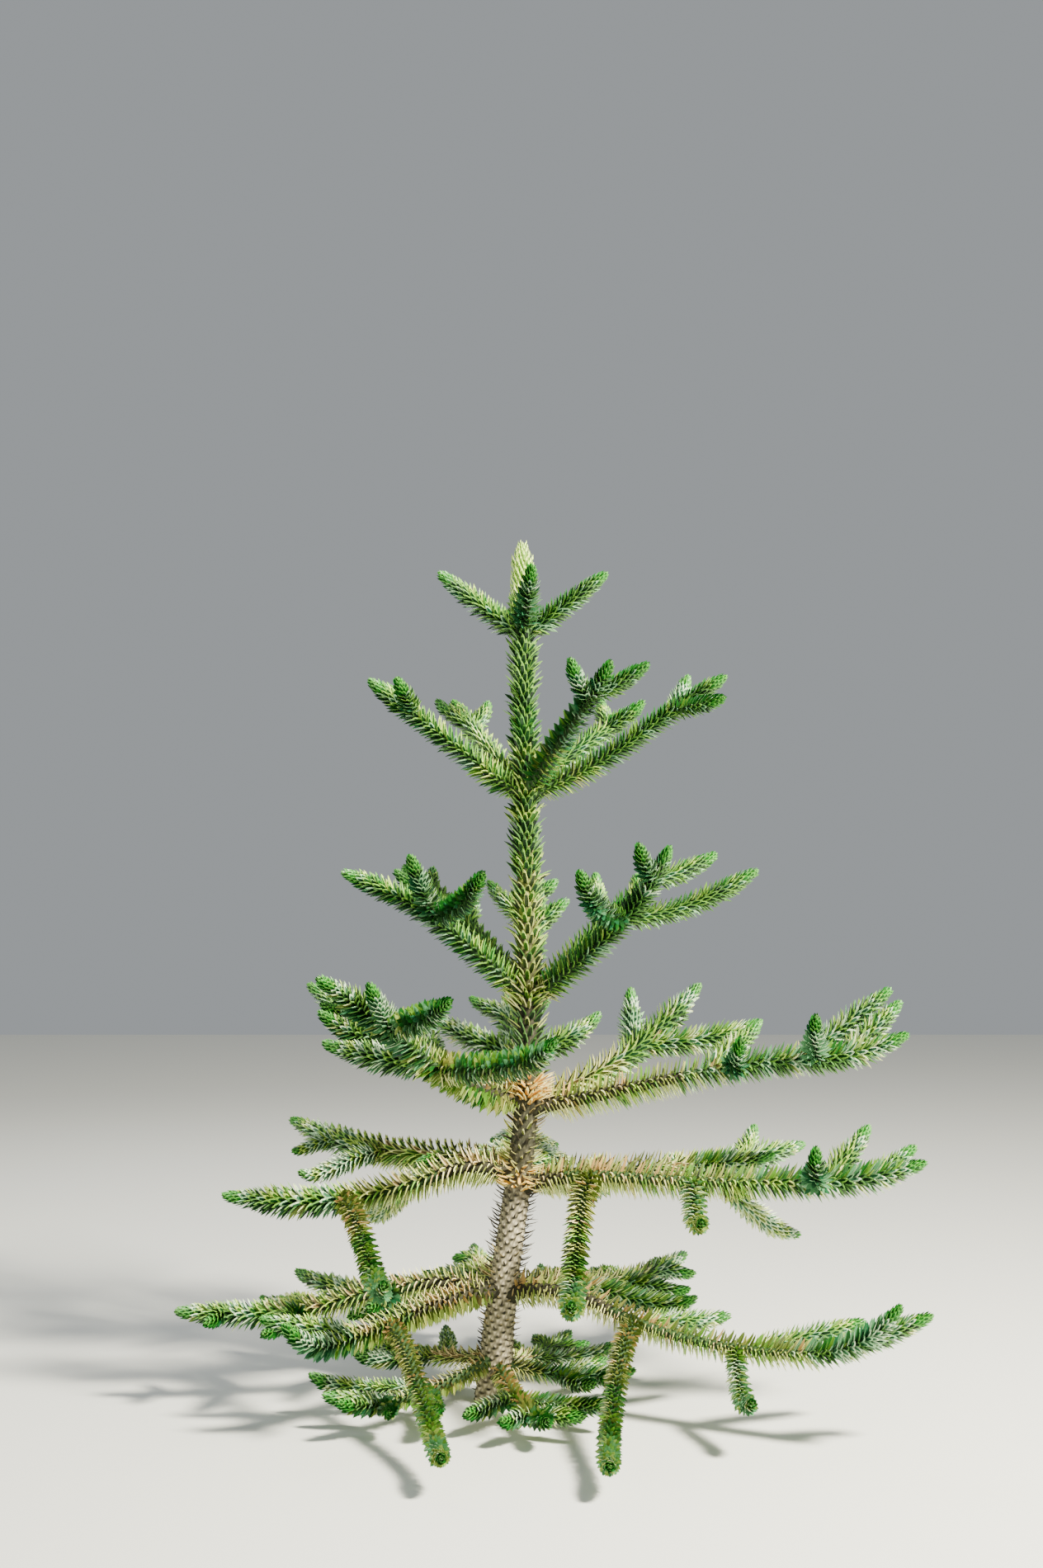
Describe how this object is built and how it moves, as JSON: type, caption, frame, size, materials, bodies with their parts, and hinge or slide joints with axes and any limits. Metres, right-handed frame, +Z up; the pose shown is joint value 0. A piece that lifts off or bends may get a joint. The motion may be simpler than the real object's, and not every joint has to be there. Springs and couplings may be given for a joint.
{
  "type": "monkey puzzle tree",
  "caption": "Young conifer with a leaning trunk and whorls of rope-like boughs, all covered in stiff pointed leaves, with drooping lower side shoots.",
  "frame": {"origin": "centre of the flat cut under the trunk, at ground level", "axes": "+Z up along the trunk, +X to the right as seen from the front, where the trunk leans to the right, and +Y away from the viewer"},
  "size_m": [2.1207, 1.8711, 2.48],
  "materials": {
    "bark": "rough bark, pale grey-brown",
    "bough": "rough, covered in old olive-brown leaves",
    "old_leaves": "matt, dry olive-brown leaves",
    "leaves": "satin dark green leaves",
    "fresh_leaves": "satin pale yellow-green leaves"
  },
  "bodies": {
    "root": {"bough_4_1": "bough", "bough_4_2": "bough", "bough_4_3": "bough", "bough_4_4": "bough", "bough_4_5": "bough", "bough_5_1": "bough", "bough_5_2": "bough", "bough_5_3": "bough", "bough_5_4": "bough", "bough_5_5": "bough", "bough_6_1": "bough", "bough_6_2": "bough", "bough_6_3": "bough", "bough_6_4": "bough", "bough_6_5": "bough", "bough_6_6": "bough", "foliage_1_1": "leaves", "foliage_1_2": "leaves", "foliage_1_3": "leaves", "foliage_1_4": "leaves", "foliage_2_1": "leaves", "foliage_2_2": "leaves", "foliage_2_3": "leaves", "foliage_2_4": "leaves", "foliage_2_5": "leaves", "foliage_3_1": "leaves", "foliage_3_2": "leaves", "foliage_3_3": "leaves", "foliage_3_4": "leaves", "foliage_3_5": "leaves", "foliage_4_1": "leaves", "foliage_4_2": "leaves", "foliage_4_3": "leaves", "foliage_4_4": "leaves", "foliage_4_5": "leaves", "foliage_5_1": "leaves", "foliage_5_2": "leaves", "foliage_5_3": "leaves", "foliage_5_4": "leaves", "foliage_5_5": "leaves", "foliage_6_1": "leaves", "foliage_6_2": "leaves", "foliage_6_3": "leaves", "foliage_6_4": "leaves", "foliage_6_5": "leaves", "foliage_6_6": "leaves", "foliage_7_1": "leaves", "foliage_7_2": "leaves", "foliage_7_3": "leaves", "foliage_7_4": "leaves", "foliage_7_5": "leaves", "leading_shoot": "fresh_leaves", "trunk": "bark", "trunk_leaves_1": "old_leaves", "trunk_leaves_2": "old_leaves", "trunk_leaves_3": "old_leaves", "trunk_leaves_4": "leaves", "trunk_leaves_5": "leaves", "trunk_leaves_6": "leaves"}
  },
  "joints": []
}
